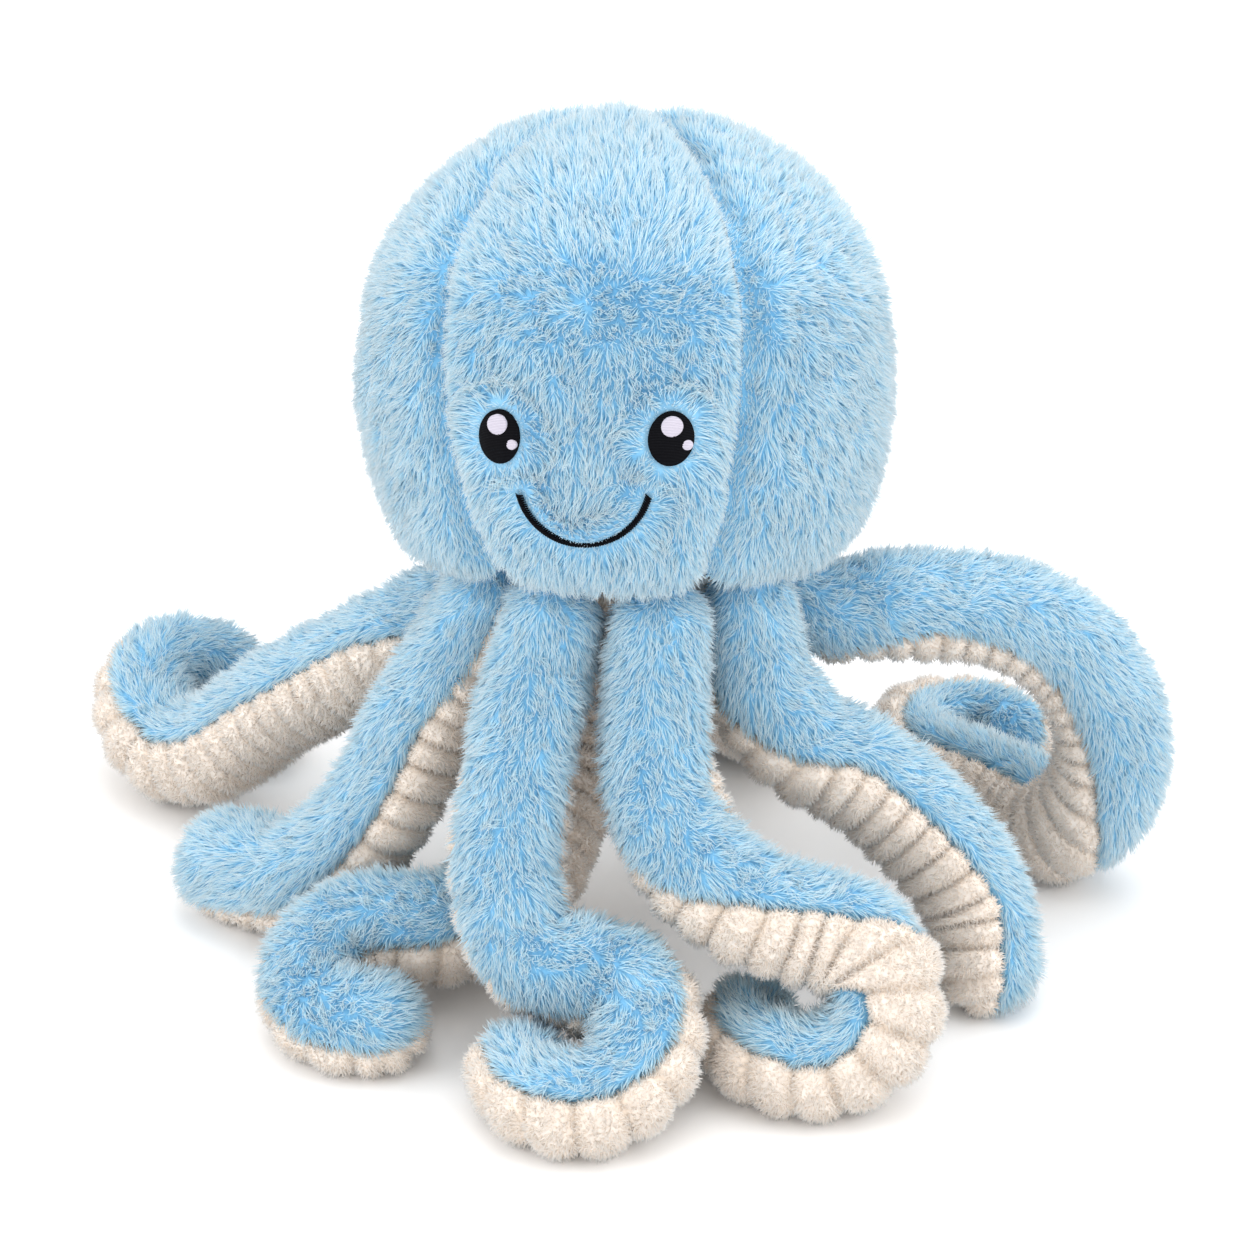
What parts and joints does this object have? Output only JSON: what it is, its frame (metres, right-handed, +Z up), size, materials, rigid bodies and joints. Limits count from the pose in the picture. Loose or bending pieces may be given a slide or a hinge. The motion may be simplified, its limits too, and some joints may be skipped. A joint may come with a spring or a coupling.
{
  "type": "plush octopus",
  "caption": "Plush octopus with a round head, sewn eyes and smile, and stuffed legs that curl, with blue pile on top and ribbed cream pile underneath.",
  "frame": {"origin": "on the floor under the middle of the octopus's box", "axes": "+Z up; the face looks along -Y, turned a little towards -X; +X is the octopus's right as seen in the picture"},
  "size_m": [0.3856, 0.3104, 0.2855],
  "materials": {
    "blue_pile": "long soft pile",
    "cream_pile": "ribbed short pile",
    "filling": "loose fibre",
    "black_thread": "satin embroidery",
    "white_thread": "satin embroidery"
  },
  "bodies": {
    "head": {"face_panel": "blue_pile", "right_panel": "blue_pile", "back_right_panel": "blue_pile", "back_left_panel": "blue_pile", "left_panel": "blue_pile", "base_panel": "blue_pile", "head_filling": "filling", "mouth": "black_thread", "left_eye": "black_thread", "left_eye_glint": "white_thread", "left_eye_small_glint": "white_thread", "right_eye": "black_thread", "right_eye_glint": "white_thread", "right_eye_small_glint": "white_thread"},
    "leg_left_1": {"leg_left_1_top": "blue_pile", "leg_left_1_underside": "cream_pile", "leg_left_1_filling": "filling"},
    "leg_left_2": {"leg_left_2_top": "blue_pile", "leg_left_2_underside": "cream_pile", "leg_left_2_filling": "filling"},
    "leg_left_3": {"leg_left_3_top": "blue_pile", "leg_left_3_underside": "cream_pile", "leg_left_3_filling": "filling"},
    "leg_left_4": {"leg_left_4_top": "blue_pile", "leg_left_4_underside": "cream_pile", "leg_left_4_filling": "filling"},
    "leg_right_1": {"leg_right_1_top": "blue_pile", "leg_right_1_underside": "cream_pile", "leg_right_1_filling": "filling"},
    "leg_right_2": {"leg_right_2_top": "blue_pile", "leg_right_2_underside": "cream_pile", "leg_right_2_filling": "filling"},
    "leg_right_3": {"leg_right_3_top": "blue_pile", "leg_right_3_underside": "cream_pile", "leg_right_3_filling": "filling"},
    "leg_right_4": {"leg_right_4_top": "blue_pile", "leg_right_4_underside": "cream_pile", "leg_right_4_filling": "filling"}
  },
  "joints": [
    {"name": "leg_left_1_bend", "type": "hinge", "parent": "head", "child": "leg_left_1", "pos_m": [-0.02068, -0.03343, 0.13483], "axis": [-0.9904, -0.1381, 0], "range_deg": [0, 30]},
    {"name": "leg_left_2_bend", "type": "hinge", "parent": "head", "child": "leg_left_2", "pos_m": [-0.04151, -0.00518, 0.12882], "axis": [-0.066, 0.9978, 0], "range_deg": [0, 30]},
    {"name": "leg_left_3_bend", "type": "hinge", "parent": "head", "child": "leg_left_3", "pos_m": [-0.03582, 0.02919, 0.12152], "axis": [0.5019, 0.8649, 0], "range_deg": [0, 25]},
    {"name": "leg_left_4_bend", "type": "hinge", "parent": "head", "child": "leg_left_4", "pos_m": [-0.00694, 0.04956, 0.11719], "axis": [-0.8437, 0.5368, 0], "range_deg": [0, 8]},
    {"name": "leg_right_1_bend", "type": "hinge", "parent": "head", "child": "leg_right_1", "pos_m": [0.01446, -0.03899, 0.13601], "axis": [-0.811, -0.585, 0], "range_deg": [0, 30]},
    {"name": "leg_right_2_bend", "type": "hinge", "parent": "head", "child": "leg_right_2", "pos_m": [0.04333, -0.01863, 0.13168], "axis": [-0.336, -0.9419, 0], "range_deg": [0, 30]},
    {"name": "leg_right_3_bend", "type": "hinge", "parent": "head", "child": "leg_right_3", "pos_m": [0.04902, 0.01575, 0.12438], "axis": [0.5319, -0.8468, 0], "range_deg": [0, 14]},
    {"name": "leg_right_4_bend", "type": "hinge", "parent": "head", "child": "leg_right_4", "pos_m": [0.0282, 0.04399, 0.11837], "axis": [0.99, -0.141, 0], "range_deg": [0, 30]}
  ]
}
